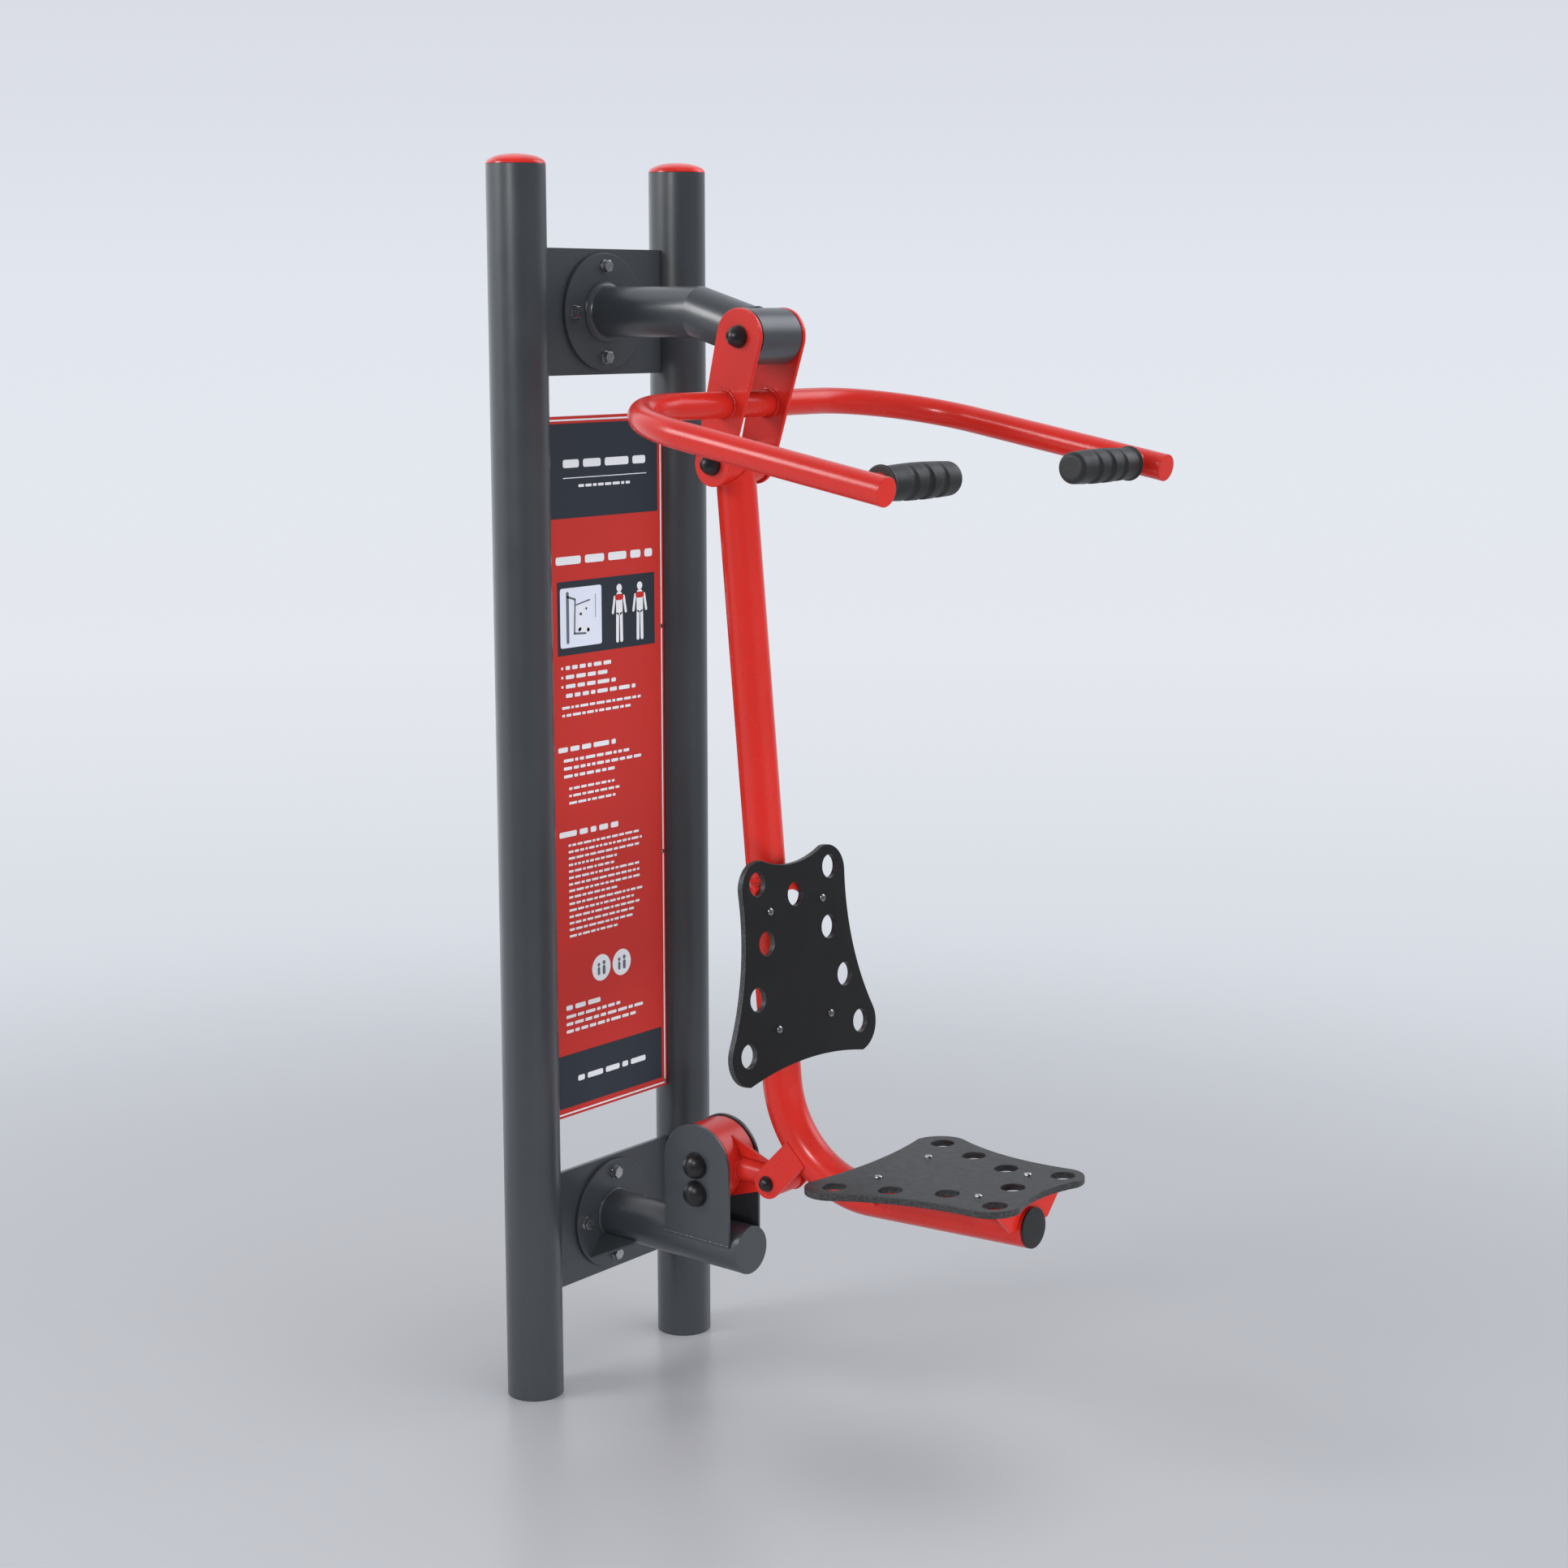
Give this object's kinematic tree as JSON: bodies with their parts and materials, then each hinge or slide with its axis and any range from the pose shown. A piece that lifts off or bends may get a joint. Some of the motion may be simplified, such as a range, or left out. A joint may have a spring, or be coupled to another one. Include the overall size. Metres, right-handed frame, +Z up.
{
  "type": "outdoor gym pull-down station",
  "caption": "Outdoor seated pull-down trainer: two-post frame with a swinging lever with hand grips that lifts a hanging seat, guided by a short link at its foot.",
  "frame": {"origin": "on the ground, midway between the two posts' axes", "axes": "+X from the sign towards the user, +Y from the near post to the far post, +Z up"},
  "size_m": [0.8945, 0.7218, 1.9273],
  "materials": {
    "red_coat": "gloss red powder coat on steel",
    "anthracite_coat": "satin anthracite powder coat on steel",
    "red_cap_plastic": "gloss red plastic",
    "sign_panel_coat": "printed and coated sheet",
    "black_board": "solid black plastic board, lightly textured",
    "black_cap_plastic": "moulded black plastic",
    "bush_plastic": "moulded bearing plastic",
    "grip_rubber": "moulded black grip rubber",
    "bright_steel": "plated steel"
  },
  "bodies": {
    "frame": {"near_post": "anthracite_coat", "far_post": "anthracite_coat", "near_post_cap": "red_cap_plastic", "far_post_cap": "red_cap_plastic", "upper_cross_plate": "anthracite_coat", "lower_cross_plate": "anthracite_coat", "sign_panel": "sign_panel_coat", "upper_flange": "anthracite_coat", "upper_arm": "anthracite_coat", "pivot_sleeve": "anthracite_coat", "near_sleeve_bush": "bush_plastic", "far_sleeve_bush": "bush_plastic", "lower_flange": "anthracite_coat", "lower_arm": "anthracite_coat", "lower_arm_end_plate": "anthracite_coat", "near_cheek": "anthracite_coat", "far_cheek": "anthracite_coat", "hub_axle": "bright_steel", "stop_bolt": "bright_steel", "near_hub_cap": "black_cap_plastic", "far_hub_cap": "black_cap_plastic", "near_stop_cap": "black_cap_plastic", "far_stop_cap": "black_cap_plastic"},
    "lever": {"near_link_plate": "red_coat", "far_link_plate": "red_coat", "upper_axle": "bright_steel", "lower_axle": "bright_steel", "near_upper_pivot_cap": "black_cap_plastic", "far_upper_pivot_cap": "black_cap_plastic", "near_lower_pivot_cap": "black_cap_plastic", "far_lower_pivot_cap": "black_cap_plastic", "handlebar": "red_coat", "near_bar_end": "red_coat", "far_bar_end": "red_coat", "near_grip_stub": "red_coat", "far_grip_stub": "red_coat", "near_grip": "grip_rubber", "far_grip": "grip_rubber"},
    "seat_carriage": {"carriage_sleeve": "red_coat", "near_carriage_bush": "bush_plastic", "far_carriage_bush": "bush_plastic", "seat_tube": "red_coat", "seat_tube_plug": "black_cap_plastic", "seat_front_bracket": "red_coat", "seat_rear_bracket": "red_coat", "back_upper_bracket": "red_coat", "back_lower_bracket": "red_coat", "seat_plate": "black_board", "back_plate": "black_board", "near_clevis_plate": "red_coat", "far_clevis_plate": "red_coat", "clevis_pin": "bright_steel", "near_clevis_cap": "black_cap_plastic", "far_clevis_cap": "black_cap_plastic"},
    "lower_link": {"hub": "red_coat", "near_hub_bush": "bush_plastic", "far_hub_bush": "bush_plastic", "link_arm": "red_coat", "top_gusset": "red_coat", "bottom_gusset": "red_coat"}
  },
  "joints": [
    {"name": "lever_swing", "type": "hinge", "parent": "frame", "child": "lever", "pos_m": [0.321, 0, 1.662], "axis": [0, 1, 0], "range_deg": [0, 30]},
    {"name": "carriage_swing", "type": "hinge", "parent": "lever", "child": "seat_carriage", "pos_m": [0.2695, 0, 1.47527], "axis": [0, 1, 0], "range_deg": [-34.3, 0]},
    {"name": "link_swing", "type": "hinge", "parent": "frame", "child": "lower_link", "pos_m": [0.218, 0, 0.3832], "axis": [0, 1, 0], "range_deg": [-23.4, 0]}
  ],
  "couplings": [
    {"joint": "carriage_swing", "follows": "lever_swing", "ratio": -1.1398},
    {"joint": "link_swing", "follows": "lever_swing", "ratio": -0.7745}
  ]
}
